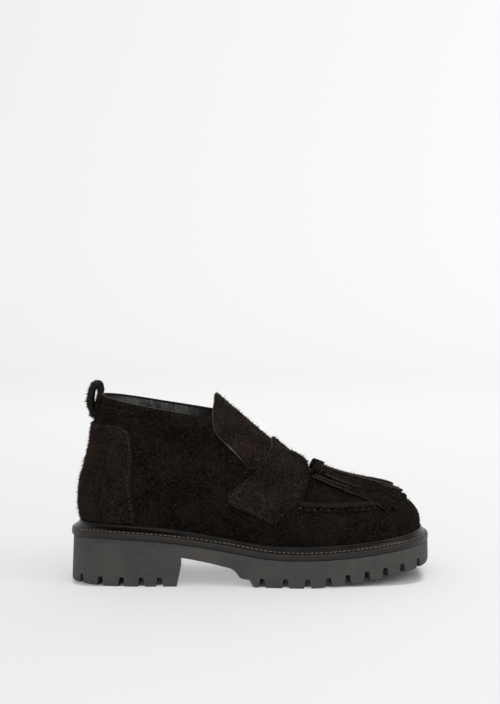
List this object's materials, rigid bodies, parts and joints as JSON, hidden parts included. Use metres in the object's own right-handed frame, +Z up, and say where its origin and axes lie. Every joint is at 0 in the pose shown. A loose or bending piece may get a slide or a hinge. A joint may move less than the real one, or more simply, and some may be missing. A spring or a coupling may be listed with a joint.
{
  "type": "ankle loafer",
  "caption": "Suede ankle loafer with a tongue flap, saddle strap and two tassels, on a welted, lugged rubber sole with a low block heel.",
  "frame": {"origin": "middle of the footprint's box, on the floor", "axes": "+X towards the toe, +Y towards the wearer's left, +Z up"},
  "size_m": [0.2775, 0.102, 0.1524],
  "materials": {
    "suede": "napped suede, very dark brown",
    "suede_tassel": "suede strips, very dark brown",
    "welt_leather": "smooth, dark brown",
    "sole_rubber": "matte, taupe grey",
    "sock_leather": "smooth, black"
  },
  "bodies": {
    "root": {"outsole": "sole_rubber", "welt": "welt_leather", "insole": "sock_leather", "upper": "suede", "heel_counter": "suede", "tongue_flap": "suede", "saddle_strap": "suede", "tassel_tie": "suede", "pull_loop": "suede", "tassel_outer": "suede_tassel", "tassel_inner": "suede_tassel"}
  },
  "joints": []
}
